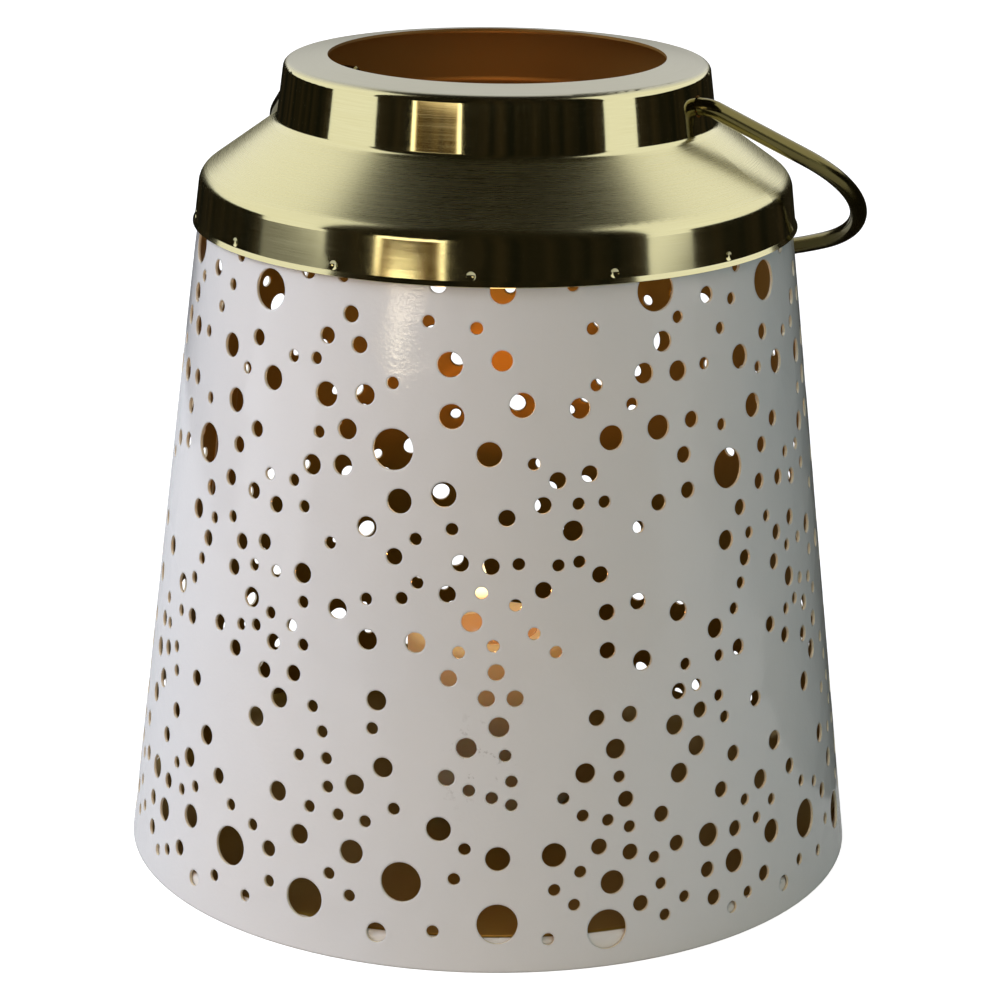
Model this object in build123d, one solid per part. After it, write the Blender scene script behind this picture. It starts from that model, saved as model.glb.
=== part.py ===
from build123d import *
import math
import os

# Punched tin lantern: a tapered shade, a base pan, a spun collar, a wire bail and a candle.
# Millimetres and degrees. +Z is up, the origin is the centre of the shade's bottom edge,
# and the bail turns about an axis along X.

# Sheet metal and fits
sheet = 0.6
weld_gap = 0.1
rest_gap = 0.3
pivot_gap = 0.4

# Shade
shade_bottom_radius = 82.5
shade_top_radius = 64.4
shade_height = 150.5
seam_azimuth = 177
seam_lap = 8
seam_gap = 0.3

# Base pan
floor_height = 7.3
flange_lift = 0.4
pan_bend = 1.5

# Collar
skirt_overlap = 7.5
skirt_flare = 0.4
skirt_flare_height = 1
crown_gap = 3
shoulder_angle = 35.7
shoulder_bend = 4.5
neck_radius = 47.9
neck_height = 12.2
neck_taper = 7.5
neck_bend = 1.5
rim_rise = 7
rim_bend = 1.8
mouth_radius = 36.8
dent_count = 14
dent_start = 8
dent_ball = 1.5
dent_depth = 0.35
dent_lift = 2.2

# Bail
wire = 3.8
pin_inside = 12
pin_outside = 2
pin_chamfer = 0.4
bail_bend = 3
bail_flare = 35.7
bail_half_width = 70.6
bail_corner = 33
bail_tilt = 35
bail_slide = 0.9

# Candle
candle_radius = 19
candle_height = 40
candle_edge = 1.6
pool_radius = 14
pool_depth = 1.2
wick = 1.8
wick_gap = 0.1
wick_rise = 3
wick_curl = 5
wick_lean = 50
tab_radius = 9
tab_tube_radius = 2
tab_tube_height = 6

# Punches, and the panel of holes that repeats round the shade
great_punch = 8.6
large_punch = 5.2
medium_punch = 4.3
small_punch = 3.5
tiny_punch = 2.6
punch_reach = 2
edge_margin = 0.5
panels_around = 3.465
panel_start = -117

# Each hole's turn in degrees from the panel's left edge and its height above the bottom edge,
# read off the photograph by eye to the nearest half
punch_chart = [
    (great_punch, [
        (7.5, 137.5), (35, 109), (82, 140.5), (96.5, 101), (8.5, 17.5), (23.5, 11.5), (39, 18.5),
        (53.5, 10.5), (70, 8),
    ]),
    (large_punch, [
        (10, 119.5), (22, 118.5), (0.5, 112.5), (36.5, 98.5), (44, 100.5), (45, 116.5), (44.5, 127),
        (51.5, 109), (53.5, 142), (57, 119), (72.5, 111.5), (101.5, 123.5), (81.5, 112.5), (44.5, 30.5),
        (31, 23.5), (53.5, 24.5), (62, 25), (71, 18), (88, 24), (102, 19.5), (93, 16.5),
    ]),
    (medium_punch, [
        (20, 103.5), (29.5, 119.5), (26.5, 112), (26, 104.5), (53.5, 128), (67, 118), (79, 124), (83, 130),
        (86, 123.5), (19.5, 80.5), (9, 72.5), (16.5, 53), (26.5, 74.5), (31, 92.5), (49, 74.5), (32, 69),
        (40, 69.5), (34, 56.5), (65.5, 93), (77, 64.5), (53.5, 52.5), (95, 86), (84, 73.5), (91.5, 68),
        (82.5, 49.5), (12, 47.5), (0.5, 39), (17.5, 33), (22, 25), (35.5, 42.5), (31, 38), (35.5, 7),
        (48.5, 48), (67, 42), (72, 46.5), (86.5, 44), (83, 39), (100, 32),
    ]),
    (small_punch, [
        (5.5, 127), (21.5, 130.5), (7, 108), (2.5, 103.5), (16.5, 143), (26, 135.5), (28, 129.5),
        (42, 143), (63, 103.5), (68.5, 104.5), (60.5, 98.5), (54.5, 96), (93.5, 138), (88.5, 113),
        (86.5, 106), (87, 98.5), (81, 97), (1, 96), (7.5, 95), (13, 93.5), (5.5, 83.5), (11, 85), (4, 77.5),
        (1.5, 64.5), (14.5, 64.5), (6, 60.5), (13, 58), (19, 59), (36, 87), (47, 86.5), (45, 80),
        (45.5, 62.5), (51.5, 58.5), (52, 86), (53, 64), (70, 83.5), (60.5, 81), (71, 75.5), (76.5, 77),
        (71, 67.5), (56, 58.5), (69, 53.5), (74.5, 53.5), (99, 92), (99.5, 81), (96.5, 62.5), (83.5, 56.5),
        (87.5, 51.5), (100, 50), (4.5, 31.5), (16.5, 20), (0.5, 6.5), (45.5, 41.5), (73.5, 35.5), (69, 26),
        (74, 24), (75.5, 12.5), (94, 40), (91, 33), (79.5, 31), (82, 24), (93.5, 23.5), (87.5, 16.5),
        (88.5, 10), (99.5, 11),
    ]),
    (tiny_punch, [
        (3, 120), (14.5, 125), (19.5, 125.5), (21, 110.5), (11, 99.5), (16.5, 99.5), (24, 143), (102, 142.5),
        (34.5, 122.5), (40.5, 135.5), (49, 134.5), (70, 122.5), (69.5, 134), (76.5, 118), (59, 107),
        (66.5, 98.5), (71, 98.5), (66, 143), (86.5, 134.5), (100, 136), (96.5, 130.5), (92, 124),
        (95.5, 110.5), (19, 94.5), (2.5, 88), (24.5, 88), (9, 79.5), (14, 79.5), (20, 74.5), (13.5, 70.5),
        (18, 69), (10.5, 67), (7, 66), (20.5, 65.5), (23, 53), (39.5, 91), (45.5, 93.5), (40, 82),
        (37.5, 78.5), (31.5, 77.5), (50.5, 80.5), (47, 68), (33.5, 50.5), (52.5, 69.5), (77, 92.5),
        (56.5, 86.5), (63, 86), (66.5, 86.5), (56, 78), (59, 72), (62.5, 68), (101, 86), (98, 76), (96, 71),
        (85, 62), (92, 62), (87, 57), (91.5, 53.5), (92.5, 48.5), (25, 48), (21, 42), (23.5, 31.5),
        (8, 26.5), (13, 24), (17, 13), (5.5, 9.5), (12.5, 8), (26, 42.5), (26.5, 36.5), (37.5, 34),
        (28.5, 31), (33, 30.5), (48.5, 26.5), (47, 20), (27.5, 18), (31, 14), (44, 8.5), (49, 39),
        (54.5, 46.5), (55.5, 41), (52.5, 37.5), (55.5, 36), (63.5, 37), (72.5, 40.5), (66.5, 33),
        (70.5, 31.5), (74, 29.5), (66, 21), (62, 17.5), (65, 14), (61, 7), (78, 22), (96, 29), (98.5, 24),
        (102.5, 26.5), (79, 16), (83, 12), (79.5, 9), (95.5, 8.5), (92, 6.5),
    ]),
]

# Values that follow from the sizes above
shade_slope = (shade_bottom_radius - shade_top_radius) / shade_height
shade_taper = math.degrees(math.atan(shade_slope))
wall = sheet / math.cos(math.radians(shade_taper))
skirt_bottom = shade_height - skirt_overlap
skirt_offset = (weld_gap + sheet) / math.cos(math.radians(shade_taper))


def tangent(angle):
    return math.tan(math.radians(angle))


def shade_radius(height):
    return shade_bottom_radius - shade_slope * height


def skirt_radius(height):
    return shade_radius(height) + skirt_offset


# Corners of the collar's outer outline, before its bends are rounded
crown = (skirt_radius(shade_height + crown_gap), shade_height + crown_gap)
neck_foot = (neck_radius, crown[1] + (crown[0] - neck_radius) * tangent(shoulder_angle))
neck_top = (neck_radius - neck_height * tangent(neck_taper), neck_foot[1] + neck_height)
mouth_edge = (mouth_radius, neck_top[1] + (neck_top[0] - mouth_radius) * tangent(rim_rise))
pivot_height = (neck_foot[1] + neck_top[1]) / 2
pivot_radius = (neck_foot[0] + neck_top[0]) / 2


# Solid of revolution about Z from a closed outline in the XZ plane
def turned(outline, arc=360):
    face = make_face(Plane.XZ * outline)
    return revolve(face, axis=Axis.Z, revolution_arc=arc)


# Outline of a bent sheet: the outer line with its bends, and the same line one sheet further in
def bent_sheet(points, bends):
    outer = FilletPolyline(*points, radius=bends)
    return offset(outer, amount=sheet, side=Side.RIGHT)


# Places of all punched holes, as diameter, azimuth and height, clear of the seam and the edges
def punched_places():
    panel_angle = 360 / panels_around
    first = math.floor((seam_azimuth - 360 - panel_start) / panel_angle)
    last = math.ceil((seam_azimuth - panel_start) / panel_angle)
    places = []
    for diameter, spots in punch_chart:
        for turn, height in spots:
            room = diameter / 2 + edge_margin
            seam_room = math.degrees((seam_lap / 2 + room) / shade_radius(height))
            if not room < height < shade_height - room:
                continue
            for panel in range(first, last):
                azimuth = panel_start + panel * panel_angle + turn
                if seam_azimuth - 360 + seam_room < azimuth < seam_azimuth - seam_room:
                    places.append((diameter, azimuth, height))
    return places


# Punch tool square to the sheet at one place on the shade
def punch(diameter, azimuth, height):
    radius = shade_radius(height) - wall / 2
    out_x = math.cos(math.radians(azimuth))
    out_y = math.sin(math.radians(azimuth))
    seat = Plane(origin=(radius * out_x, radius * out_y, height), x_dir=(-out_y, out_x, 0),
                 z_dir=(out_x, out_y, shade_slope))
    return seat * Cylinder(diameter / 2, 2 * punch_reach)


# Band of the shade's sheet between two heights, from one depth below its outer face to another
def shade_band(low, high, outer_depth, inner_depth):
    return Polyline(
        (shade_radius(low) - outer_depth, low), (shade_radius(high) - outer_depth, high),
        (shade_radius(high) - inner_depth, high), (shade_radius(low) - inner_depth, low), close=True)


# The sheet is punched while it is open. The lap behind its edges then closes it into one ring.
def make_shade():
    gap_angle = math.degrees(seam_gap / shade_bottom_radius)
    lap_angle = math.degrees(seam_lap / shade_bottom_radius)
    lap_foot = floor_height + rest_gap
    band = turned(shade_band(0, shade_height, 0, wall), 360 - gap_angle)
    band = Rot(Z=seam_azimuth + gap_angle / 2) * band
    band -= [punch(*place) for place in punched_places()]
    lap = turned(shade_band(lap_foot, shade_height, wall / 2, 2 * wall), lap_angle)
    return band + Rot(Z=seam_azimuth - lap_angle / 2) * lap


def make_base_pan():
    inset = wall + weld_gap
    foot = (shade_radius(flange_lift) - inset, flange_lift)
    corner = (shade_radius(floor_height) - inset, floor_height)
    return turned(bent_sheet([(0, floor_height), corner, foot], [pan_bend]))


def make_collar():
    flare_top = skirt_bottom + skirt_flare_height
    hem = (skirt_radius(skirt_bottom) + skirt_flare, skirt_bottom)
    flare = (skirt_radius(flare_top), flare_top)
    outline = bent_sheet([mouth_edge, neck_top, neck_foot, crown, flare, hem],
                         [rim_bend, neck_bend, shoulder_bend, 0])
    body = turned(outline)
    pivot_hole = Cylinder(wire / 2 + pivot_gap, 2 * neck_radius + 2 * wire, rotation=(0, 90, 0))
    dent_height = skirt_bottom + dent_lift
    dent_reach = skirt_radius(dent_height) - dent_depth + dent_ball
    dents = PolarLocations(dent_reach, dent_count, start_angle=dent_start)
    body -= Pos(Z=pivot_height) * pivot_hole
    return body - [Pos(Z=dent_height) * place * Sphere(dent_ball) for place in dents]


# The bail's centre line, drawn flat with its pins along X and its grip towards +Y.
# Straight arms flare out from the pins, a corner arc turns each one in, and a wide grip arc joins them.
# The grip lies one rest gap off the shade's back when the bail hangs at its tilt.
def bail_path():
    lean = math.radians(bail_tilt)
    wire_stand_off = (wire / 2 + rest_gap) / math.cos(math.radians(shade_taper))
    depth = (shade_radius(pivot_height) + wire_stand_off) / (math.cos(lean) - shade_slope * math.sin(lean))
    flare = math.radians(bail_flare)
    elbow = pivot_radius + pin_outside
    tip = pivot_radius - pin_inside
    arm = (bail_half_width - bail_corner * (1 - math.cos(flare)) - elbow) / math.sin(flare)
    corner_x = bail_half_width - bail_corner
    corner_y = arm * math.cos(flare) + bail_corner * math.sin(flare)
    rise = depth - corner_y
    grip = (corner_x ** 2 + rise ** 2 - bail_corner ** 2) / (2 * (rise - bail_corner))
    join_angle = math.atan2(corner_y - depth + grip, corner_x)
    mid_angle = (join_angle - flare) / 2

    def on_corner(angle):
        return (corner_x + bail_corner * math.cos(angle), corner_y + bail_corner * math.sin(angle))

    arm_end = on_corner(-flare)
    grip_end = on_corner(join_angle)
    side = FilletPolyline((tip, 0), (elbow, 0), arm_end, radius=[bail_bend])
    corner = ThreePointArc(arm_end, on_corner(mid_angle), grip_end)
    half = side + corner
    grip_arc = ThreePointArc(grip_end, (0, depth), (-grip_end[0], grip_end[1]))
    return Wire([*half.edges(), *grip_arc.edges(), *mirror(half, Plane.YZ).edges()])


# The bail is loose in its holes, and lies slid along X until the bend at one end is at the neck
def make_bail():
    path = bail_path()
    section = Plane(origin=path @ 0, z_dir=path % 0) * Circle(wire / 2)
    rod = sweep(section, path=path)
    rod = chamfer(rod.faces().filter_by(GeomType.PLANE).edges(), pin_chamfer)
    return Pos(X=bail_slide, Z=pivot_height) * Rot(X=-bail_tilt) * rod


# Upright cylinder standing on the pan's floor
def post(radius, height):
    return Pos(Z=floor_height) * Cylinder(radius, height, align=(Align.CENTER, Align.CENTER, Align.MIN))


# Wick tab: a disc with a tube that grips the wick, grown by a gap for the pocket that it leaves in the wax
def tab_shape(gap):
    return post(tab_radius + gap, sheet + gap) + post(tab_tube_radius + gap, tab_tube_height + gap)


def make_wick_tab():
    return tab_shape(0) - post(wick / 2 + wick_gap, tab_tube_height)


def make_candle_wax():
    body = post(candle_radius, candle_height)
    body = fillet(body.edges().sort_by(Axis.Z)[-1], candle_edge)
    pool_ball = (pool_radius ** 2 + pool_depth ** 2) / (2 * pool_depth)
    pool_bottom = floor_height + candle_height - pool_depth
    body -= Pos(Z=pool_bottom + pool_ball) * Sphere(pool_ball)
    return body - tab_shape(wick_gap) - post(wick / 2 + wick_gap, candle_height)


# The wick stands in the tab, rises out of the wax and curls over towards -X at its tip
def make_candle_wick():
    foot = floor_height + wick_gap
    bend = floor_height + candle_height + wick_rise
    lean = math.radians(wick_lean)
    curl = wick_curl / lean
    tip = (curl * (math.cos(lean) - 1), 0, bend + curl * math.sin(lean))
    path = Line((0, 0, foot), (0, 0, bend)) + TangentArc((0, 0, bend), tip, tangent=(0, 0, 1))
    return sweep(Plane.XY.offset(foot) * Circle(wick / 2), path=path)


parts = {
    "shade": make_shade,
    "base_pan": make_base_pan,
    "collar": make_collar,
    "bail": make_bail,
    "candle_wax": make_candle_wax,
    "candle_wick": make_candle_wick,
    "wick_tab": make_wick_tab,
}

os.makedirs("parts", exist_ok=True)
for name, make in parts.items():
    solid = make()
    solid.label = name
    export_step(solid, f"parts/{name}.step", write_pcurves=False)
    print(name, round(solid.volume), "mm3")
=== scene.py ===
import math
import bpy
import numpy as np
from mathutils import Matrix, Vector


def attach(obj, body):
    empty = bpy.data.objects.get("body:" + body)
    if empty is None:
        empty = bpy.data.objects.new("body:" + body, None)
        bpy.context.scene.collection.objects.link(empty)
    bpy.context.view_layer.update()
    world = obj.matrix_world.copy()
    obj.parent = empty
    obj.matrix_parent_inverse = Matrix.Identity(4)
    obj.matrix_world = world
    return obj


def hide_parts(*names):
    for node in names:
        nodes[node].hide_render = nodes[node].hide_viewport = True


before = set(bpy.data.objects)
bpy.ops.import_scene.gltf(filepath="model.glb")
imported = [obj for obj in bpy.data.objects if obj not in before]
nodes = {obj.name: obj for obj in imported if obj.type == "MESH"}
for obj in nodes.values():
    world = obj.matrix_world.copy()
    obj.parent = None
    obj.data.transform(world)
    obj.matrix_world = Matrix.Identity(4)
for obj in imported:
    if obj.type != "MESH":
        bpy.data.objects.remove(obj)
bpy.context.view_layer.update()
scene = bpy.context.scene
mm = 0.001
print("frame loaded:", ", ".join(sorted(nodes)))

# sizes of the solids that the finishes and the new pieces line up with, in mm
lantern = {
    "bottomRadius": 82.5,
    "topRadius": 64.4,
    "shadeHeight": 150.5,
    "floorHeight": 7.3,
    "skirtBottom": 143.0,
    "crown": 153.5,
    "neckFoot": 165.6,
    "neckTop": 177.8,
    "mouthTop": 179.0,
    "candleTop": 47.3,
    "poolRadius": 14.0,
    "poolDepth": 1.2,
    "wickBend": 50.3,
    "wickCurl": 5.0,
    "wickLean": 50.0,
}


def hexColor(code):
    # sRGB hex to linear light, with full opacity
    parts = [int(code[i:i + 2], 16) / 255 for i in (1, 3, 5)]
    linear = [c / 12.92 if c <= 0.04045 else ((c + 0.055) / 1.055) ** 2.4 for c in parts]
    return (*linear, 1.0)


def addNode(tree, kind, inputs=None, **settings):
    # one node: settings are its attributes, inputs are values or the sockets to link from
    node = tree.nodes.new(kind)
    for name, value in settings.items():
        setattr(node, name, value)
    for socket, value in (inputs or {}).items():
        if isinstance(value, bpy.types.NodeSocket):
            tree.links.new(value, node.inputs[socket])
        else:
            node.inputs[socket].default_value = value
    return node


def setRamp(ramp, stops):
    # stops of a colour ramp, as pairs of place and colour
    elements = ramp.color_ramp.elements
    while len(elements) < len(stops):
        elements.new(1.0)
    for element, (place, color) in zip(elements, stops):
        element.position = place
        element.color = color


def startMaterial(name, values):
    # empty material with one surface shader, whose constant values are set on its own sockets
    material = bpy.data.materials.new(name)
    material.use_nodes = True
    tree = material.node_tree
    tree.nodes.clear()
    surface = addNode(tree, "ShaderNodeBsdfPrincipled", values)
    addNode(tree, "ShaderNodeOutputMaterial", {"Surface": surface.outputs["BSDF"]})
    place = addNode(tree, "ShaderNodeTexCoord").outputs["Object"]
    return material, tree, surface, place


def wear(node, material):
    # a CAD node keeps its mesh and takes a finish
    nodes[node].data.materials.clear()
    nodes[node].data.materials.append(material)


# sprayed enamel: warm white, glossy, faint orange peel, a few specks of dust under the gloss;
# the punched edge is bare cream, and the inside is lacquered gold-brown
enamel = {
    "white": "#E9E5DF",
    "whiteCool": "#E3E2E0",
    "edge": "#EFE3C6",
    "gold": "#9C813A",
    "goldDeep": "#7C6527",
    "speck": "#8A8378",
    "toneSize": 42.0,
    "peelSize": 0.8,
    "peelHeight": 0.07,
    "peelStrength": 0.35,
    "rolledEdge": 0.75,
    "speckSpacing": 9.0,
    "speckSize": 0.22,
    "speckShow": 0.55,
    "scuff": "#8F877B",
    "scuffAzimuth": -67.0,
    "scuffHeight": 45.0,
    "scuffReach": 13.0,
    "scuffSize": 2.4,
    "scuffShow": 0.7,
    "gloss": (0.05, 0.12),
    "goldRoughness": 0.34,
    "panRoughness": (0.3, 0.42),
    "goldMetallic": 0.65,
}


def paintShade():
    material, tree, surface, place = startMaterial("sprayedWhiteEnamel", {"IOR": 1.5})
    slope = (lantern["bottomRadius"] - lantern["topRadius"]) / lantern["shadeHeight"]
    # how far a face looks out of the cone: 1 outside, 0 on a punched edge, -1 inside
    flat = addNode(tree, "ShaderNodeVectorMath", {0: place, 1: (1, 1, 0)}, operation="MULTIPLY")
    way = addNode(tree, "ShaderNodeVectorMath", {0: flat.outputs["Vector"]}, operation="NORMALIZE")
    rise = addNode(tree, "ShaderNodeVectorMath", {0: way.outputs["Vector"], 1: (0, 0, slope)}, operation="ADD")
    face = addNode(tree, "ShaderNodeNewGeometry")
    outward = addNode(tree, "ShaderNodeVectorMath", {0: face.outputs["Normal"], 1: rise.outputs["Vector"]},
                      operation="DOT_PRODUCT").outputs["Value"]
    inside = addNode(tree, "ShaderNodeMapRange", {"Value": outward, "From Min": -0.4, "From Max": -0.6})
    inside = inside.outputs["Result"]
    tone = addNode(tree, "ShaderNodeTexNoise", {"Vector": place, "Scale": 1 / (enamel["toneSize"] * mm),
                                                "Detail": 3.0, "Roughness": 0.55})
    white = addNode(tree, "ShaderNodeMix", {0: tone.outputs["Fac"], 6: hexColor(enamel["white"]),
                                            7: hexColor(enamel["whiteCool"])}, data_type="RGBA")
    # dust: a small dot in some cells of a loose grid
    cells = addNode(tree, "ShaderNodeTexVoronoi", {"Vector": place,
                                                   "Scale": 1 / (enamel["speckSpacing"] * mm)})
    pick = addNode(tree, "ShaderNodeSeparateColor", {"Color": cells.outputs["Color"]})
    reach = addNode(tree, "ShaderNodeMath", {0: pick.outputs["Red"], 1: 1.6, 2: -0.6}, operation="MULTIPLY_ADD")
    size = addNode(tree, "ShaderNodeMath", {0: reach.outputs["Value"],
                                            1: enamel["speckSize"] / enamel["speckSpacing"]}, operation="MULTIPLY")
    dot = addNode(tree, "ShaderNodeMath", {0: cells.outputs["Distance"], 1: size.outputs["Value"]},
                  operation="LESS_THAN")
    dust = addNode(tree, "ShaderNodeMath", {0: dot.outputs["Value"], 1: enamel["speckShow"]}, operation="MULTIPLY")
    specked = addNode(tree, "ShaderNodeMix", {0: dust.outputs["Value"], 6: white.outputs[2],
                                              7: hexColor(enamel["speck"])}, data_type="RGBA")
    # scuffs: broken grey rubs that fade out from one place on the front
    turn = math.radians(enamel["scuffAzimuth"])
    reachIn = lantern["bottomRadius"] - slope * enamel["scuffHeight"]
    spot = Vector((reachIn * math.cos(turn), reachIn * math.sin(turn), enamel["scuffHeight"])) * mm
    apart = addNode(tree, "ShaderNodeVectorMath", {0: place, 1: spot}, operation="DISTANCE")
    fade = addNode(tree, "ShaderNodeMapRange", {"Value": apart.outputs["Value"], "From Max": 0.0,
                                                "From Min": enamel["scuffReach"] * mm,
                                                "To Max": enamel["scuffShow"]}, interpolation_type="SMOOTHSTEP")
    rubs = addNode(tree, "ShaderNodeTexNoise", {"Vector": place, "Scale": 1 / (enamel["scuffSize"] * mm),
                                                "Detail": 5.0, "Roughness": 0.65})
    worn = addNode(tree, "ShaderNodeMapRange", {"Value": rubs.outputs["Fac"], "From Min": 0.6, "From Max": 0.68})
    scuffed = addNode(tree, "ShaderNodeMath", {0: fade.outputs["Result"], 1: worn.outputs["Result"]},
                      operation="MULTIPLY")
    rubbed = addNode(tree, "ShaderNodeMix", {0: scuffed.outputs["Value"], 6: specked.outputs[2],
                                             7: hexColor(enamel["scuff"])}, data_type="RGBA")
    gold = addNode(tree, "ShaderNodeMix", {0: tone.outputs["Fac"], 6: hexColor(enamel["gold"]),
                                           7: hexColor(enamel["goldDeep"])}, data_type="RGBA")
    cut = addNode(tree, "ShaderNodeMapRange", {"Value": outward, "From Min": 0.6, "From Max": 0.4})
    edged = addNode(tree, "ShaderNodeMix", {0: cut.outputs["Result"], 6: rubbed.outputs[2],
                                            7: hexColor(enamel["edge"])}, data_type="RGBA")
    color = addNode(tree, "ShaderNodeMix", {0: inside, 6: edged.outputs[2], 7: gold.outputs[2]}, data_type="RGBA")
    tree.links.new(color.outputs[2], surface.inputs["Base Color"])
    metal = addNode(tree, "ShaderNodeMath", {0: inside, 1: enamel["goldMetallic"]}, operation="MULTIPLY")
    tree.links.new(metal.outputs["Value"], surface.inputs["Metallic"])
    gloss = addNode(tree, "ShaderNodeMapRange", {"Value": tone.outputs["Fac"], "From Min": 0.3, "From Max": 0.7,
                                                 "To Min": enamel["gloss"][0], "To Max": enamel["gloss"][1]})
    rough = addNode(tree, "ShaderNodeMix", {0: inside, 2: gloss.outputs["Result"],
                                            3: enamel["goldRoughness"]}, data_type="FLOAT")
    tree.links.new(rough.outputs[0], surface.inputs["Roughness"])
    peel = addNode(tree, "ShaderNodeTexNoise", {"Vector": place, "Scale": 1 / (enamel["peelSize"] * mm),
                                                "Detail": 2.0})
    # the punch rolls the rim of each hole a little, and paint rounds it off
    rolled = addNode(tree, "ShaderNodeBevel", {"Radius": enamel["rolledEdge"] * mm}, samples=6)
    bump = addNode(tree, "ShaderNodeBump", {"Height": peel.outputs["Fac"], "Strength": enamel["peelStrength"],
                                            "Distance": enamel["peelHeight"] * mm,
                                            "Normal": rolled.outputs["Normal"]})
    tree.links.new(bump.outputs["Normal"], surface.inputs["Normal"])
    wear("shade", material)


# gold-brown lacquer on the pan's floor, with the shade's white enamel on its flange and underside
def paintPan():
    material, tree, surface, place = startMaterial("goldLacqueredPan", {"IOR": 1.5})
    split = addNode(tree, "ShaderNodeSeparateXYZ", {"Vector": place})
    top = addNode(tree, "ShaderNodeMapRange", {"Value": split.outputs["Z"],
                                               "From Min": (lantern["floorHeight"] - 0.35) * mm,
                                               "From Max": (lantern["floorHeight"] - 0.2) * mm}).outputs["Result"]
    tone = addNode(tree, "ShaderNodeTexNoise", {"Vector": place, "Scale": 1 / (enamel["toneSize"] * mm),
                                                "Detail": 4.0})
    gold = addNode(tree, "ShaderNodeMix", {0: tone.outputs["Fac"], 6: hexColor(enamel["gold"]),
                                           7: hexColor(enamel["goldDeep"])}, data_type="RGBA")
    color = addNode(tree, "ShaderNodeMix", {0: top, 6: hexColor(enamel["white"]), 7: gold.outputs[2]},
                    data_type="RGBA")
    tree.links.new(color.outputs[2], surface.inputs["Base Color"])
    metal = addNode(tree, "ShaderNodeMath", {0: top, 1: enamel["goldMetallic"]}, operation="MULTIPLY")
    tree.links.new(metal.outputs["Value"], surface.inputs["Metallic"])
    rough = addNode(tree, "ShaderNodeMapRange", {"Value": tone.outputs["Fac"], "From Min": 0.3, "From Max": 0.7,
                                                 "To Min": enamel["panRoughness"][0],
                                                 "To Max": enamel["panRoughness"][1]})
    tree.links.new(rough.outputs["Result"], surface.inputs["Roughness"])
    peel = addNode(tree, "ShaderNodeTexNoise", {"Vector": place, "Scale": 1 / (enamel["peelSize"] * mm),
                                                "Detail": 2.0})
    bump = addNode(tree, "ShaderNodeBump", {"Height": peel.outputs["Fac"], "Strength": enamel["peelStrength"],
                                            "Distance": enamel["peelHeight"] * mm})
    tree.links.new(bump.outputs["Normal"], surface.inputs["Normal"])
    wear("base_pan", material)


# spun and polished brass plate: pale greenish gold, mirror-like on the neck and skirt, satin on the shoulder
# and rim, with fine turning marks round the axis; the marks are drawn coarser than real so that they show
brass = {
    "bright": "#E9E4B8",
    "deep": "#D9D19C",
    "rim": "#B3B09C",
    "lining": "#896731",
    # the wire's colours are darkened as painted shade, for the dark surroundings the round wire reflects
    "wireShadedPale": "#8A8150",
    "wireShadedDeep": "#6A6138",
    "markSpacing": 0.2,
    "markLength": 14.0,
    "markRadius": 50.0,
    "markHeight": 0.003,
    "markStrength": 0.035,
    "drawStrength": 0.2,
    "hazeSize": 9.0,
    "drawSize": 0.5,
    "mirror": 0.06,
    "skirtPolish": 0.1,
    "satin": 0.27,
    "rimSatin": 0.33,
    "liningRoughness": 0.42,
    "liningMetallic": 0.5,
    "wireRoughness": (0.14, 0.24),
}


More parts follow.
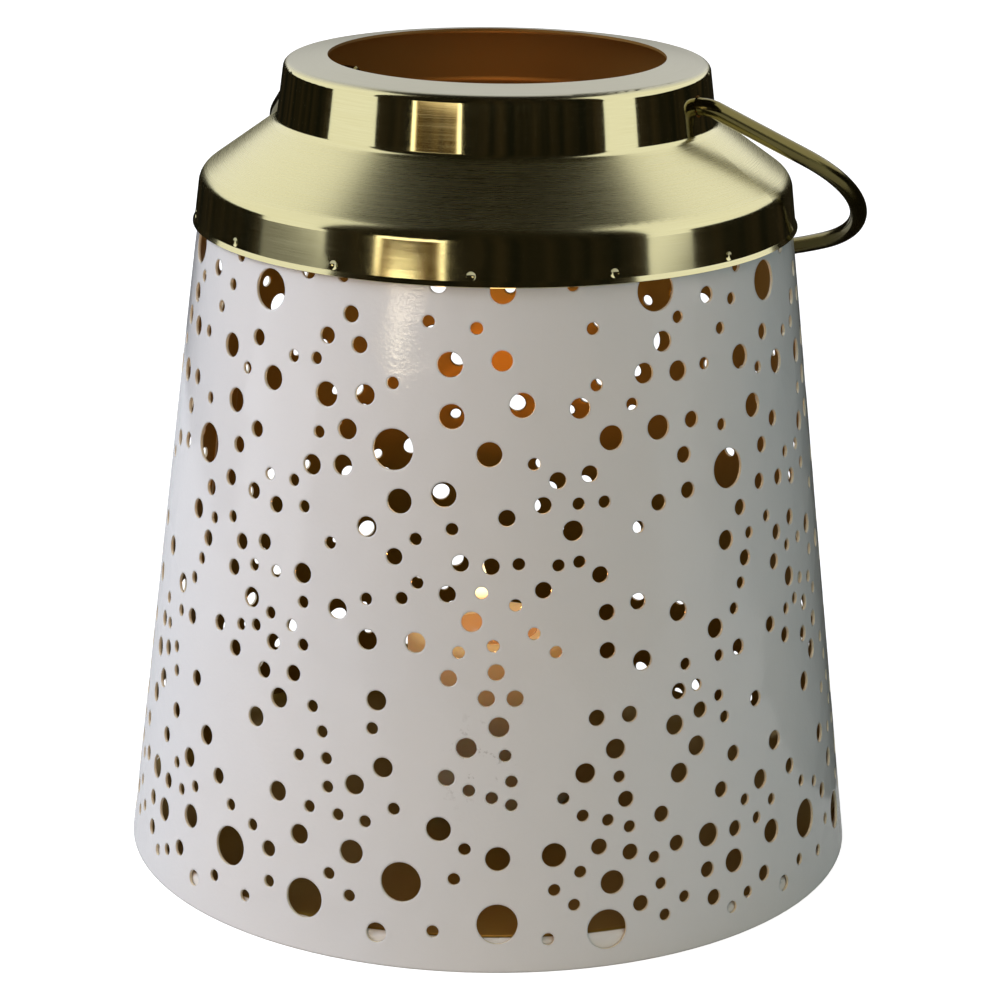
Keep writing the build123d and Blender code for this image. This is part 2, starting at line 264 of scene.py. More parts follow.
def spinCollar():
    material, tree, surface, place = startMaterial("spunBrassPlate", {})
    split = addNode(tree, "ShaderNodeSeparateXYZ", {"Vector": place})
    flat = addNode(tree, "ShaderNodeVectorMath", {0: place, 1: (1, 1, 0)}, operation="MULTIPLY")
    radius = addNode(tree, "ShaderNodeVectorMath", {0: flat.outputs["Vector"]}, operation="LENGTH").outputs["Value"]
    way = addNode(tree, "ShaderNodeVectorMath", {0: flat.outputs["Vector"]}, operation="NORMALIZE").outputs["Vector"]
    # turning marks: noise that runs fast along the profile and slowly round the axis
    profile = addNode(tree, "ShaderNodeMath", {0: split.outputs["Z"], 1: radius}, operation="SUBTRACT")
    lift = addNode(tree, "ShaderNodeMath", {0: profile.outputs["Value"], 1: 1 / (brass["markSpacing"] * mm)},
                   operation="MULTIPLY")
    around = addNode(tree, "ShaderNodeVectorMath", {0: way, "Scale": brass["markRadius"] / brass["markLength"]},
                     operation="SCALE")
    up = addNode(tree, "ShaderNodeCombineXYZ", {"Z": lift.outputs["Value"]})
    path = addNode(tree, "ShaderNodeVectorMath", {0: around.outputs["Vector"], 1: up.outputs["Vector"]},
                   operation="ADD")
    marks = addNode(tree, "ShaderNodeTexNoise", {"Vector": path.outputs["Vector"], "Scale": 1.0, "Detail": 3.0,
                                                 "Roughness": 0.6}).outputs["Fac"]
    # the lining shows where the surface faces the axis
    face = addNode(tree, "ShaderNodeNewGeometry").outputs["Normal"]
    outward = addNode(tree, "ShaderNodeVectorMath", {0: face, 1: way}, operation="DOT_PRODUCT").outputs["Value"]
    inside = addNode(tree, "ShaderNodeMapRange", {"Value": outward, "From Min": 0.0, "From Max": -0.06})
    inside = inside.outputs["Result"]
    plate = addNode(tree, "ShaderNodeMix", {0: marks, 6: hexColor(brass["deep"]), 7: hexColor(brass["bright"])},
                    data_type="RGBA")
    # the rim's top is hazier and greyer than the rest
    crest = addNode(tree, "ShaderNodeMapRange", {"Value": split.outputs["Z"],
                                                 "From Min": (lantern["neckTop"] - 0.6) * mm,
                                                 "From Max": (lantern["neckTop"] + 0.1) * mm})
    hazed = addNode(tree, "ShaderNodeMix", {0: crest.outputs["Result"], 6: plate.outputs[2],
                                            7: hexColor(brass["rim"])}, data_type="RGBA")
    color = addNode(tree, "ShaderNodeMix", {0: inside, 6: hazed.outputs[2], 7: hexColor(brass["lining"])},
                    data_type="RGBA")
    tree.links.new(color.outputs[2], surface.inputs["Base Color"])
    metal = addNode(tree, "ShaderNodeMapRange", {"Value": inside, "To Min": 1.0,
                                                 "To Max": brass["liningMetallic"]})
    tree.links.new(metal.outputs["Result"], surface.inputs["Metallic"])
    # roughness by height: skirt, shoulder, neck, rim
    low, high = lantern["skirtBottom"], lantern["mouthTop"]
    share = addNode(tree, "ShaderNodeMapRange", {"Value": split.outputs["Z"], "From Min": low * mm,
                                                 "From Max": high * mm})
    zones = addNode(tree, "ShaderNodeValToRGB", {"Fac": share.outputs["Result"]})
    setRamp(zones, [((z - low) / (high - low), (r, r, r, 1)) for z, r in (
        (lantern["crown"] - 1.2, brass["skirtPolish"]), (lantern["crown"] + 0.8, brass["satin"]),
        (lantern["neckFoot"] - 1.0, brass["satin"]), (lantern["neckFoot"] + 0.8, brass["mirror"]),
        (lantern["neckTop"] - 1.0, brass["mirror"]), (lantern["neckTop"] + 0.2, brass["rimSatin"]))])
    streak = addNode(tree, "ShaderNodeMapRange", {"Value": marks, "From Min": 0.3, "From Max": 0.7,
                                                  "To Min": -0.015, "To Max": 0.025})
    polish = addNode(tree, "ShaderNodeMath", {0: zones.outputs["Color"], 1: streak.outputs["Result"]},
                     operation="ADD")
    rough = addNode(tree, "ShaderNodeMix", {0: inside, 2: polish.outputs["Value"],
                                            3: brass["liningRoughness"]}, data_type="FLOAT")
    tree.links.new(rough.outputs[0], surface.inputs["Roughness"])
    bump = addNode(tree, "ShaderNodeBump", {"Height": marks, "Strength": brass["markStrength"],
                                            "Distance": brass["markHeight"] * mm})
    tree.links.new(bump.outputs["Normal"], surface.inputs["Normal"])
    wear("collar", material)


# drawn brass wire: brass on a rod, darker than the plate as painted shade for the dark surroundings it reflects, with
# faint draw marks and handling haze
def drawBail():
    material, tree, surface, place = startMaterial("drawnBrassWire", {"Metallic": 1.0})
    haze = addNode(tree, "ShaderNodeTexNoise", {"Vector": place, "Scale": 1 / (brass["hazeSize"] * mm),
                                                "Detail": 4.0})
    # painted shade: the wire's brass colour is darkened, and the handling haze mixes its two tones
    color = addNode(tree, "ShaderNodeMix", {0: haze.outputs["Fac"], 6: hexColor(brass["wireShadedDeep"]),
                                            7: hexColor(brass["wireShadedPale"])}, data_type="RGBA")
    tree.links.new(color.outputs[2], surface.inputs["Base Color"])
    rough = addNode(tree, "ShaderNodeMapRange", {"Value": haze.outputs["Fac"], "From Min": 0.3, "From Max": 0.7,
                                                 "To Min": brass["wireRoughness"][0],
                                                 "To Max": brass["wireRoughness"][1]})
    tree.links.new(rough.outputs["Result"], surface.inputs["Roughness"])
    scratch = addNode(tree, "ShaderNodeTexNoise", {"Vector": place, "Scale": 1 / (brass["drawSize"] * mm),
                                                   "Detail": 2.0})
    bump = addNode(tree, "ShaderNodeBump", {"Height": scratch.outputs["Fac"], "Strength": brass["drawStrength"],
                                            "Distance": brass["markHeight"] * mm})
    tree.links.new(bump.outputs["Normal"], surface.inputs["Normal"])
    wear("bail", material)


# paraffin wax: cream, waxy sheen, light scattered under the skin, and a painted warm glow of the flame's light rising
# towards the top
wax = {
    "cream": "#F0E0C0",
    "warm": "#E8CFA2",
    "glow": "#A97B45",
    "glowFrom": 25.0,
    "glowStrength": 0.55,
    "scatter": (14.0, 7.0, 3.0),
    "cloudSize": 8.0,
    "cloudHeight": 0.08,
    "roughness": (0.36, 0.5),
}


def pourCandle():
    material, tree, surface, place = startMaterial("paraffinWax", {
        "IOR": 1.44, "Subsurface Weight": 0.6, "Subsurface Scale": mm, "Subsurface Radius": wax["scatter"]})
    split = addNode(tree, "ShaderNodeSeparateXYZ", {"Vector": place})
    cloud = addNode(tree, "ShaderNodeTexNoise", {"Vector": place, "Scale": 1 / (wax["cloudSize"] * mm),
                                                 "Detail": 4.0})
    color = addNode(tree, "ShaderNodeMix", {0: cloud.outputs["Fac"], 6: hexColor(wax["cream"]),
                                            7: hexColor(wax["warm"])}, data_type="RGBA")
    tree.links.new(color.outputs[2], surface.inputs["Base Color"])
    rough = addNode(tree, "ShaderNodeMapRange", {"Value": cloud.outputs["Fac"], "From Min": 0.3, "From Max": 0.7,
                                                 "To Min": wax["roughness"][0], "To Max": wax["roughness"][1]})
    tree.links.new(rough.outputs["Result"], surface.inputs["Roughness"])
    # painted light: emission that brightens the wax towards its top, where the flame's light would fall
    paintedFlameGlow = addNode(tree, "ShaderNodeMapRange", {"Value": split.outputs["Z"], "From Min": wax["glowFrom"] * mm,
                                               "From Max": lantern["candleTop"] * mm, "To Max": wax["glowStrength"]},
                  interpolation_type="SMOOTHSTEP")
    surface.inputs["Emission Color"].default_value = hexColor(wax["glow"])
    tree.links.new(paintedFlameGlow.outputs["Result"], surface.inputs["Emission Strength"])
    bump = addNode(tree, "ShaderNodeBump", {"Height": cloud.outputs["Fac"], "Strength": 0.3,
                                            "Distance": wax["cloudHeight"] * mm})
    tree.links.new(bump.outputs["Normal"], surface.inputs["Normal"])
    wear("candle_wax", material)


# stamped tinplate: bright grey metal with a fine spangle
tab = {"dull": "#B9BBBC", "bright": "#D2D3D2", "spangleSize": 1.5, "roughness": (0.25, 0.4)}


def stampTab():
    material, tree, surface, place = startMaterial("stampedTinplate", {"Metallic": 1.0})
    spangle = addNode(tree, "ShaderNodeTexVoronoi", {"Vector": place, "Scale": 1 / (tab["spangleSize"] * mm)})
    shade = addNode(tree, "ShaderNodeMix", {0: spangle.outputs["Distance"], 6: hexColor(tab["dull"]),
                                            7: hexColor(tab["bright"])}, data_type="RGBA")
    tree.links.new(shade.outputs[2], surface.inputs["Base Color"])
    rough = addNode(tree, "ShaderNodeMapRange", {"Value": spangle.outputs["Distance"],
                                                 "To Min": tab["roughness"][0], "To Max": tab["roughness"][1]})
    tree.links.new(rough.outputs["Result"], surface.inputs["Roughness"])
    wear("wick_tab", material)


def tubeMesh(name, tubes):
    # closed tubes in one mesh: each is an array of rings, and a point at each end's middle closes it
    points, faces, start = [], [], 0
    for rings in tubes:
        count, around = rings.shape[:2]
        ends = np.stack([rings[0].mean(0), rings[-1].mean(0)])
        points.append(np.concatenate([rings.reshape(-1, 3), ends]))
        index = start + np.arange(count * around).reshape(count, around)
        nextIndex = np.roll(index, -1, axis=1)
        sides = np.stack([index[:-1], nextIndex[:-1], nextIndex[1:], index[1:]], -1).reshape(-1, 4)
        firstEnd = np.full(around, start + count * around)
        caps = np.concatenate([np.stack([firstEnd, nextIndex[0], index[0]], -1),
                               np.stack([firstEnd + 1, index[-1], nextIndex[-1]], -1)])
        faces += sides.tolist() + caps.tolist()
        start += count * around + 2
    mesh = bpy.data.meshes.new(name)
    mesh.from_pydata((np.concatenate(points) * mm).tolist(), [], faces)
    mesh.polygons.foreach_set("use_smooth", np.ones(len(mesh.polygons), bool))
    mesh.update()
    piece = bpy.data.objects.new(name, mesh)
    scene.collection.objects.link(piece)
    return piece


# braided cotton wick: three strands wound round each other, charred at the top with an ember at the tip
wick = {
    "strandRadius": 0.46,
    "strandOffset": 0.42,
    "pitch": 5.0,
    "foot": 7.6,
    "rings": 160,
    "cotton": "#CDBE9E",
    "char": "#15110D",
    "ember": "#FF5A14",
    "emberStrength": 3.0,
    "emberFrom": 3.5,
    "emberTo": 4.4,
    "charReach": 2.0,
    "endTaper": 0.5,
    "fuzzSize": 0.3,
    "fuzzHeight": 0.1,
}


def braidWick():
    # middle line: straight up, then an arc of the wick's curl to the left; strands circle it once every pitch
    lean = math.radians(lantern["wickLean"])
    bendRadius = lantern["wickCurl"] / lean
    straight = lantern["wickBend"] - wick["foot"]
    s = np.linspace(0, straight + lantern["wickCurl"], wick["rings"])
    turn = np.clip((s - straight) / bendRadius, 0, None)
    x = bendRadius * (np.cos(turn) - 1)
    z = wick["foot"] + np.minimum(s, straight) + bendRadius * np.sin(turn)
    middle = np.stack([x, np.zeros_like(s), z], -1)
    across = np.stack([np.cos(turn), np.zeros_like(s), np.sin(turn)], -1)
    beside = np.array([0.0, 1.0, 0.0])
    u = np.linspace(0, 2 * np.pi, 12, endpoint=False)
    taper = np.clip(np.minimum(s, s[-1] - s) / wick["endTaper"], 0.15, 1.0)
    tubes = []
    for k in range(3):
        angle = 2 * np.pi * (s / wick["pitch"] + k / 3)
        core = middle + wick["strandOffset"] * (np.cos(angle)[:, None] * across + np.sin(angle)[:, None] * beside)
        ring = np.cos(u)[None, :, None] * across[:, None] + np.sin(u)[None, :, None] * beside
        tubes.append(core[:, None] + wick["strandRadius"] * taper[:, None, None] * ring)
    piece = tubeMesh("wickBraid", tubes)
    material, tree, surface, place = startMaterial("charredCotton", {"Roughness": 0.9, "Specular IOR Level": 0.2})
    split = addNode(tree, "ShaderNodeSeparateXYZ", {"Vector": place})
    burnt = addNode(tree, "ShaderNodeMapRange", {"Value": split.outputs["Z"], "From Min": lantern["candleTop"] * mm,
                                                 "From Max": (lantern["candleTop"] + wick["charReach"]) * mm})
    fuzz = addNode(tree, "ShaderNodeTexNoise", {"Vector": place, "Scale": 1 / (wick["fuzzSize"] * mm),
                                                "Detail": 3.0})
    color = addNode(tree, "ShaderNodeMix", {0: burnt.outputs["Result"], 6: hexColor(wick["cotton"]),
                                            7: hexColor(wick["char"])}, data_type="RGBA")
    tree.links.new(color.outputs[2], surface.inputs["Base Color"])
    ember = addNode(tree, "ShaderNodeMapRange", {"Value": split.outputs["Z"],
                                                 "From Min": (lantern["wickBend"] + wick["emberFrom"]) * mm,
                                                 "From Max": (lantern["wickBend"] + wick["emberTo"]) * mm,
                                                 "To Max": wick["emberStrength"]})
    surface.inputs["Emission Color"].default_value = hexColor(wick["ember"])
    tree.links.new(ember.outputs["Result"], surface.inputs["Emission Strength"])
    bump = addNode(tree, "ShaderNodeBump", {"Height": fuzz.outputs["Fac"], "Strength": 0.6,
                                            "Distance": wick["fuzzHeight"] * mm})
    tree.links.new(bump.outputs["Normal"], surface.inputs["Normal"])
    piece.data.materials.append(material)
    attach(piece, "candle")
    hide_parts("candle_wick")


# melted wax in the candle's hollow: a clear warm lens with a raised edge at the wick
pool = {
    "fill": 0.75,
    "gap": 0.04,
    "rimGap": 0.4,
    "wickEdge": 1.15,
    "climb": 0.35,
    "climbReach": 0.7,
    "swirlSize": 4.0,
    "tint": "#F3D9A4",
    "glow": "#C87030",
    "glowStrength": 0.12,
}


def fillPool():
    # upper face: level, rising at the wick; lower face: the hollow's ball shape lifted by the gap
    ball = (lantern["poolRadius"] ** 2 + lantern["poolDepth"] ** 2) / (2 * lantern["poolDepth"])
    bottom = lantern["candleTop"] - lantern["poolDepth"]
    rim = math.sqrt(ball ** 2 - (ball - pool["fill"]) ** 2) - pool["rimGap"]
    r = np.linspace(pool["wickEdge"], rim, 28)
    top = bottom + pool["fill"] + pool["climb"] * np.exp(-(r - pool["wickEdge"]) / pool["climbReach"])
    under = bottom + ball - np.sqrt(ball ** 2 - r ** 2) + pool["gap"]
    radii = np.concatenate([r, r[::-1], r[:1]])
    heights = np.concatenate([under, top[::-1], under[:1]])
    u = np.linspace(0, 2 * np.pi, 96, endpoint=False)
    grid = np.stack([radii[:, None] * np.cos(u), radii[:, None] * np.sin(u),
                     np.broadcast_to(heights[:, None], (len(radii), len(u)))], -1)[:-1]
    count, around = grid.shape[:2]
    index = np.arange(count * around).reshape(count, around)
    nextRow = np.roll(index, -1, axis=0)
    quads = np.stack([index, nextRow, np.roll(nextRow, -1, 1), np.roll(index, -1, 1)], -1).reshape(-1, 4)
    mesh = bpy.data.meshes.new("waxPool")
    mesh.from_pydata((grid.reshape(-1, 3) * mm).tolist(), [], quads[:, ::-1].tolist())
    mesh.polygons.foreach_set("use_smooth", np.ones(len(mesh.polygons), bool))
    mesh.update()
    piece = bpy.data.objects.new("waxPool", mesh)
    scene.collection.objects.link(piece)
    # painted light: a faint warm emission in the melted wax stands in for the flame's light shining through it
    material, tree, surface, place = startMaterial("meltedWax", {
        "IOR": 1.43, "Roughness": 0.06, "Transmission Weight": 0.6, "Emission Color": hexColor(pool["glow"]),
        "Emission Strength": pool["glowStrength"]})
    swirl = addNode(tree, "ShaderNodeTexNoise", {"Vector": place, "Scale": 1 / (pool["swirlSize"] * mm),
                                                 "Detail": 2.0})
    color = addNode(tree, "ShaderNodeMix", {0: swirl.outputs["Fac"], 6: hexColor(pool["tint"]),
                                            7: hexColor(wax["cream"])}, data_type="RGBA")
    tree.links.new(color.outputs[2], surface.inputs["Base Color"])
    piece.data.materials.append(material)
    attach(piece, "candle")


# candle flame: a teardrop, nearly clear at the wick, white-yellow in the middle, orange at the tip
flame = {
    "foot": 50.8,
    "height": 13.0,
    "radius": 2.3,
    "lean": -2.9,
    "base": "#3B2A6B",
    "heart": "#FFE9B0",
    "tip": "#CD6E16",
    "strength": 2.2,
    "lampPower": 0.036,
    "lampColor": "#FF9644",
    "lampSize": 3.0,
    "lampSpread": 180.0,
    "lampBlend": 0.35,
    "lampShare": 0.55,
    "glowPower": 0.03,
    "glowColor": "#FFD090",
    "glowHeight": 98.0,
    "glowSize": 18.0,
}


def lightFlame():
    # teardrop: radius is a sine of the height's share to the power 0.55, leaning the way the wick curls
    t = np.linspace(0.004, 0.996, 48)
    r = flame["radius"] * np.sin(np.pi * t ** 0.55) ** 0.8
    u = np.linspace(0, 2 * np.pi, 32, endpoint=False)
    x = flame["lean"] * np.sin(np.pi * np.clip(t, 0, 0.6))
    rings = np.stack([x[:, None] + r[:, None] * np.cos(u), r[:, None] * np.sin(u),
                      np.broadcast_to((flame["foot"] + flame["height"] * t)[:, None], (len(t), len(u)))], -1)
    piece = tubeMesh("candleFlame", [rings])
    material, tree, surface, place = startMaterial("candleFlame", {
        "Base Color": (0, 0, 0, 1), "Roughness": 1.0, "Specular IOR Level": 0.0,
        "Emission Strength": flame["strength"]})
    split = addNode(tree, "ShaderNodeSeparateXYZ", {"Vector": place})
    share = addNode(tree, "ShaderNodeMapRange", {"Value": split.outputs["Z"], "From Min": flame["foot"] * mm,
                                                 "From Max": (flame["foot"] + flame["height"]) * mm})
    heat = addNode(tree, "ShaderNodeValToRGB", {"Fac": share.outputs["Result"]})
    setRamp(heat, [(0.0, hexColor(flame["base"])), (0.2, hexColor(flame["tip"])), (0.4, hexColor(flame["heart"])),
                   (0.75, hexColor(flame["heart"])), (1.0, hexColor(flame["tip"]))])
    tree.links.new(heat.outputs["Color"], surface.inputs["Emission Color"])
    body = addNode(tree, "ShaderNodeMapRange", {"Value": share.outputs["Result"], "From Min": 0.05, "From Max": 0.35,
                                                "To Min": 0.12, "To Max": 0.9})
    tree.links.new(body.outputs["Result"], surface.inputs["Alpha"])
    piece.data.materials.append(material)
    piece.visible_shadow = False
    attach(piece, "candle")
    # the flame's light goes up and out, because the wick and the wax below shade it
    lamp = bpy.data.lights.new("flameLight", "SPOT")
    lamp.spot_size = math.radians(flame["lampSpread"])
    lamp.spot_blend = flame["lampBlend"]
    lamp.energy = flame["lampPower"]
    lamp.color = hexColor(flame["lampColor"])[:3]
    lamp.shadow_soft_size = flame["lampSize"] * mm
    holder = bpy.data.objects.new("flameLight", lamp)
    scene.collection.objects.link(holder)
    holder.location = (flame["lean"] * mm, 0, (flame["foot"] + flame["lampShare"] * flame["height"]) * mm)
    holder.rotation_euler = (math.pi, 0, 0)
    holder.parent = piece
    # the light that the bright lining throws back and forth above the flame
    glow = bpy.data.lights.new("chamberGlow", "POINT")
    glow.energy = flame["glowPower"]
    glow.color = hexColor(flame["glowColor"])[:3]
    glow.shadow_soft_size = flame["glowSize"] * mm
    holder = bpy.data.objects.new("chamberGlow", glow)
    scene.collection.objects.link(holder)
    holder.location = (0, 0, flame["glowHeight"] * mm)
    holder.parent = piece


# camera: a pinhole fitted to the rim, collar, bottom edge and holes of the photograph
shot = {"turn": 25.0, "distance": 673.2, "height": 289.1, "pitch": 17.435, "yaw": 0.155, "roll": 0.728,
        "lens": 112.06}


def placeCamera():
    pitch, yaw, roll = (math.radians(shot[k]) for k in ("pitch", "yaw", "roll"))
    look = Vector((math.sin(yaw) * math.cos(pitch), math.cos(yaw) * math.cos(pitch), -math.sin(pitch)))
    side = Vector((math.cos(yaw), -math.sin(yaw), 0))
    up = side.cross(look)
    right = math.cos(roll) * side + math.sin(roll) * up
    top = math.cos(roll) * up - math.sin(roll) * side
    spin = Matrix.Rotation(math.radians(shot["turn"]), 4, "Z")
    basis = Matrix((right, top, -look)).transposed().to_4x4()
    data = bpy.data.cameras.new("photoCamera")
    data.lens = shot["lens"]
    data.sensor_width = 36.0
    data.clip_start, data.clip_end = 0.01, 50.0
    camera = bpy.data.objects.new("photoCamera", data)
    scene.collection.objects.link(camera)
    place = Vector((0, -shot["distance"], shot["height"])) * mm
    camera.matrix_world = spin @ Matrix.Translation(place) @ basis
    scene.camera = camera


# studio: bearings are degrees from the camera's side of the lantern, minus to its left
studio = {
    "floorSize": 8.0,
    "floorColor": "#C6C6C4",
    "floorWhite": 0.82,
    "floorShine": 0.1,
    "worldDiffuse": 0.09,
    "worldTint": "#FBF1E4",
    "center": 0.16,
    "aimHeight": 0.09,
    "lamps": [
        # name, bearing, elevation, distance, size, power, color
        ("keySoftbox", -88, 30, 1.3, 0.9, 15.2, "#E0ECFF"),
        ("frontSoftbox", -22, 20, 1.5, 0.9, 4.7, "#FFD2A8"),
        ("fillSoftbox", 42, 15, 1.5, 0.9, 3.4, "#B6E3EB"),
        ("topSoftbox", 10, 72, 1.3, 0.9, 4.5, "#FFFFFF"),
        ("backSoftbox", 187, 26, 1.5, 0.9, 6.0, "#F4F4FF"),
    ],
    "flags": [
        # name, bearings from and to, elevations from and to, distance
        ("flagFrontLow", -62, 55, -18, 8, 0.50),
        ("flagLeftLow", -180, -92, -18, 8, 0.50),
        ("flagRightLow", 74, 180, -18, 8, 0.50),
        ("flagRightFloor", 92, 180, -60, -18, 0.50),
        ("flagFrontHigh", -66, 57, 8, 58, 0.80),
        ("flagCeiling", -180, 180, 57, 89.5, 0.80),
    ],
    "cardLift": 0.004,
    "flagColor": "#14140E",
    "flagFold": "#2C2519",
    "window": (-42, -17, -5.5, 11, 0.48),
    "windowColor": "#FFF0D2",
    "windowStrength": 2.4,
    "windowSill": 13.0,
    "windowMiddle": "#C89C60",
    "windowMiddleStrength": 0.13,
}


def bearing(angle, elevation, distance):
    # a point round the lantern, from its bearing to the camera's side
    a = np.radians(np.asarray(angle) + shot["turn"] - 90)
    e = np.radians(elevation)
    return np.stack([distance * np.cos(e) * np.cos(a), distance * np.cos(e) * np.sin(a),
                     studio["center"] + distance * np.sin(e)], -1)


def hangCard(name, fromBearing, toBearing, low, high, distance):
    # a patch of a ball round the lantern, that only reflections see; where the ball dips under the floor, the patch
    # lies on it, at the distance that gives the height of the card's lift
    a, e = np.meshgrid(np.linspace(fromBearing, toBearing, 49), np.linspace(low, high, 17))
    drop = np.maximum(np.sin(np.radians(-e)), 1e-6)
    grid = bearing(a, e, np.minimum(distance, (studio["center"] - studio["cardLift"]) / drop))
    count, around = grid.shape[:2]
    index = np.arange(count * around).reshape(count, around)
    quads = np.stack([index[:-1, :-1], index[1:, :-1], index[1:, 1:], index[:-1, 1:]], -1).reshape(-1, 4)
    mesh = bpy.data.meshes.new(name)
    mesh.from_pydata(grid.reshape(-1, 3).tolist(), [], quads.tolist())
    layer = mesh.uv_layers.new(name="UVMap")
    share = np.stack(np.meshgrid(np.linspace(0, 1, around), np.linspace(0, 1, count)), -1).reshape(-1, 2)
    corner = np.zeros(len(mesh.loops), np.int32)
    mesh.loops.foreach_get("vertex_index", corner)
    layer.data.foreach_set("uv", share[corner].astype(np.float32).ravel())
    card = bpy.data.objects.new(name, mesh)
    scene.collection.objects.link(card)
    card.visible_camera = card.visible_diffuse = card.visible_shadow = False
    card.visible_transmission = card.visible_volume_scatter = False
    return card


def dressStudio():
    world = bpy.data.worlds.new("studioWhite")
    scene.world = world
    world.use_nodes = True
    tree = world.node_tree
    tree.nodes.clear()
    ray = addNode(tree, "ShaderNodeLightPath")
    seen = addNode(tree, "ShaderNodeMath", {0: ray.outputs["Is Camera Ray"], 1: ray.outputs["Is Glossy Ray"]},
                   operation="MAXIMUM")
    seen = addNode(tree, "ShaderNodeMath", {0: seen.outputs["Value"], 1: ray.outputs["Is Transmission Ray"]},
                   operation="MAXIMUM")
    strength = addNode(tree, "ShaderNodeMapRange", {"Value": seen.outputs["Value"], "To Min": studio["worldDiffuse"],
                                                    "To Max": 1.0})
    tint = addNode(tree, "ShaderNodeMix", {0: seen.outputs["Value"], 6: hexColor(studio["worldTint"]),
                                           7: (1, 1, 1, 1)}, data_type="RGBA")
    sky = addNode(tree, "ShaderNodeBackground", {"Color": tint.outputs[2], "Strength": strength.outputs["Result"]})
    addNode(tree, "ShaderNodeOutputWorld", {"Surface": sky.outputs["Background"]})

    half = studio["floorSize"] / 2
    mesh = bpy.data.meshes.new("studioFloor")
    mesh.from_pydata([(-half, -half, 0), (half, -half, 0), (half, half, 0), (-half, half, 0)], [], [(0, 1, 2, 3)])
    floor = bpy.data.objects.new("studioFloor", mesh)
    scene.collection.objects.link(floor)
    paper = bpy.data.materials.new("paleStudioPaper")
    paper.use_nodes = True
    tree = paper.node_tree
    tree.nodes.clear()
    ray = addNode(tree, "ShaderNodeLightPath")
    seen = addNode(tree, "ShaderNodeMath", {0: ray.outputs["Is Glossy Ray"], 1: ray.outputs["Is Transmission Ray"]},
                   operation="MAXIMUM")
    shine = addNode(tree, "ShaderNodeMath", {0: seen.outputs["Value"], 1: studio["floorShine"]}, operation="MULTIPLY")
    lift = addNode(tree, "ShaderNodeMath", {0: ray.outputs["Is Camera Ray"], 1: studio["floorWhite"],
                                            2: shine.outputs["Value"]}, operation="MULTIPLY_ADD")
    matt = addNode(tree, "ShaderNodeBsdfDiffuse", {"Color": hexColor(studio["floorColor"])})
    white = addNode(tree, "ShaderNodeEmission", {"Color": (1, 1, 1, 1), "Strength": lift.outputs["Value"]})
    both = addNode(tree, "ShaderNodeAddShader", {0: matt.outputs["BSDF"], 1: white.outputs["Emission"]})
    addNode(tree, "ShaderNodeOutputMaterial", {"Surface": both.outputs["Shader"]})
    mesh.materials.append(paper)

    for name, side, elevation, distance, size, power, color in studio["lamps"]:
        data = bpy.data.lights.new(name, "AREA")
        data.energy = power
        data.size = size
        data.color = hexColor(color)[:3]
        lamp = bpy.data.objects.new(name, data)
        scene.collection.objects.link(lamp)
        lamp.location = bearing(side, elevation, distance)
        aim = Vector((0, 0, studio["aimHeight"])) - lamp.location
        lamp.rotation_euler = aim.to_track_quat("-Z", "Y").to_euler()
        lamp.visible_camera = lamp.visible_glossy = False

    cloth = bpy.data.materials.new("blackFlagCloth")
    cloth.use_nodes = True
    tree = cloth.node_tree
    tree.nodes.clear()
    # soft upright folds
    across = addNode(tree, "ShaderNodeSeparateXYZ", {"Vector": addNode(tree, "ShaderNodeTexCoord").outputs["UV"]})
    folds = addNode(tree, "ShaderNodeTexNoise", {"W": across.outputs["X"], "Scale": 14.0, "Detail": 2.0},
                    noise_dimensions="1D")
    drape = addNode(tree, "ShaderNodeMapRange", {"Value": folds.outputs["Fac"], "From Min": 0.4, "From Max": 0.7})
    hue = addNode(tree, "ShaderNodeMix", {0: drape.outputs["Result"], 6: hexColor(studio["flagColor"]),
                                          7: hexColor(studio["flagFold"])}, data_type="RGBA")
    dark = addNode(tree, "ShaderNodeEmission", {"Color": hue.outputs[2], "Strength": 1.0})
    addNode(tree, "ShaderNodeOutputMaterial", {"Surface": dark.outputs["Emission"]})
    for name, *where in studio["flags"]:
        hangCard(name, *where).data.materials.append(cloth)

    glass = bpy.data.materials.new("brightWindow")
    glass.use_nodes = True
    tree = glass.node_tree
    tree.nodes.clear()
    split = addNode(tree, "ShaderNodeSeparateXYZ", {"Vector": addNode(tree, "ShaderNodeTexCoord").outputs["UV"]})
    # bright round the window's sides and top, brown and streaky in its middle
    offX = addNode(tree, "ShaderNodeMath", {0: split.outputs["X"], 1: 0.5}, operation="SUBTRACT")
    away = addNode(tree, "ShaderNodeMath", {0: offX.outputs["Value"]}, operation="ABSOLUTE")
    rails = addNode(tree, "ShaderNodeMapRange", {"Value": away.outputs["Value"], "From Min": 0.38, "From Max": 0.45},
                    interpolation_type="SMOOTHSTEP")
    above = addNode(tree, "ShaderNodeMapRange", {"Value": split.outputs["Y"], "From Min": 0.15, "From Max": 0.2})
    sides = addNode(tree, "ShaderNodeMath", {0: rails.outputs["Result"], 1: above.outputs["Result"]},
                    operation="MULTIPLY")
    head = addNode(tree, "ShaderNodeMapRange", {"Value": split.outputs["Y"], "From Min": 0.64, "From Max": 0.74},
                   interpolation_type="SMOOTHSTEP")
    sill = addNode(tree, "ShaderNodeMapRange", {"Value": split.outputs["Y"], "From Min": 0.18, "From Max": 0.12,
                                                "To Min": studio["windowStrength"], "To Max": studio["windowSill"]},
                   interpolation_type="SMOOTHSTEP")
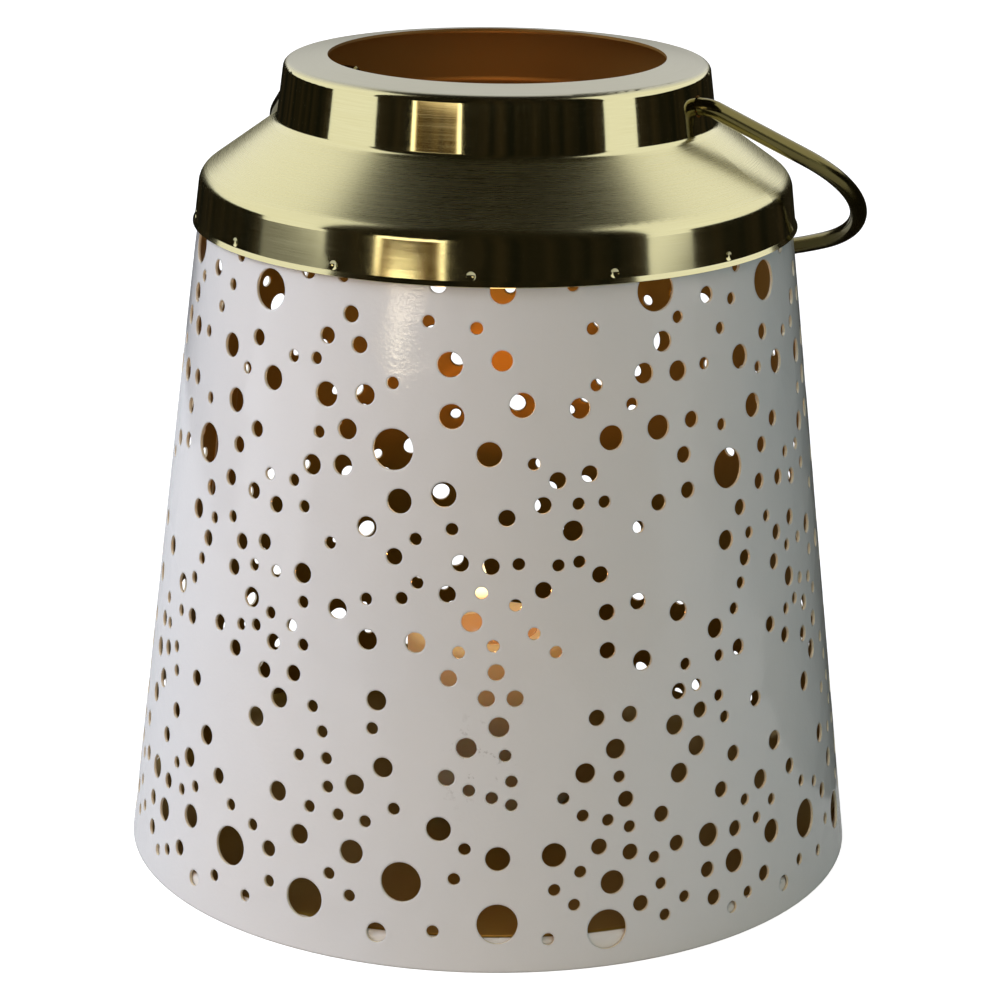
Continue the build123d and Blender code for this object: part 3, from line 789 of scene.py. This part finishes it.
    # the sill narrows downwards and leans left
    axis = addNode(tree, "ShaderNodeMath", {0: split.outputs["Y"], 1: 0.5, 2: 0.36}, operation="MULTIPLY_ADD")
    offAxis = addNode(tree, "ShaderNodeMath", {0: split.outputs["X"], 1: axis.outputs["Value"]}, operation="SUBTRACT")
    offAxis = addNode(tree, "ShaderNodeMath", {0: offAxis.outputs["Value"]}, operation="ABSOLUTE")
    taper = addNode(tree, "ShaderNodeMath", {0: split.outputs["Y"], 1: -1.9, 2: offAxis.outputs["Value"]},
                    operation="MULTIPLY_ADD")
    narrow = addNode(tree, "ShaderNodeMapRange", {"Value": taper.outputs["Value"], "From Min": 0.06,
                                                  "From Max": -0.1}, interpolation_type="SMOOTHSTEP")
    ledge = addNode(tree, "ShaderNodeMapRange", {"Value": split.outputs["Y"], "From Min": 0.2, "From Max": 0.15},
                    interpolation_type="SMOOTHSTEP")
    low = addNode(tree, "ShaderNodeMath", {0: narrow.outputs["Result"], 1: ledge.outputs["Result"]},
                  operation="MULTIPLY")
    border = addNode(tree, "ShaderNodeMath", {0: sides.outputs["Value"], 1: head.outputs["Result"]},
                     operation="MAXIMUM")
    border = addNode(tree, "ShaderNodeMath", {0: border.outputs["Value"], 1: low.outputs["Value"]},
                     operation="MAXIMUM")
    blind = addNode(tree, "ShaderNodeTexNoise", {"W": split.outputs["X"], "Scale": 9.0, "Detail": 3.0},
                    noise_dimensions="1D")
    slats = addNode(tree, "ShaderNodeMapRange", {"Value": blind.outputs["Fac"], "From Min": 0.3, "From Max": 0.7,
                                                 "To Min": 0.2 * studio["windowMiddleStrength"],
                                                 "To Max": 1.6 * studio["windowMiddleStrength"]})
    level = addNode(tree, "ShaderNodeMix", {0: border.outputs["Value"], 2: slats.outputs["Result"],
                                            3: sill.outputs["Result"]}, data_type="FLOAT")
    hue = addNode(tree, "ShaderNodeMix", {0: border.outputs["Value"], 6: hexColor(studio["windowMiddle"]),
                                          7: hexColor(studio["windowColor"])}, data_type="RGBA")
    shine = addNode(tree, "ShaderNodeEmission", {"Color": hue.outputs[2], "Strength": level.outputs[0]})
    addNode(tree, "ShaderNodeOutputMaterial", {"Surface": shine.outputs["Emission"]})
    hangCard("cardWindow", *studio["window"]).data.materials.append(glass)
    scene.view_settings.view_transform = "Standard"


paintShade()
paintPan()
print("enamel and lacquer done")
spinCollar()
drawBail()
print("brass done")
pourCandle()
stampTab()
braidWick()
fillPool()
lightFlame()
print("candle done")
placeCamera()
dressStudio()
print("camera and studio done")
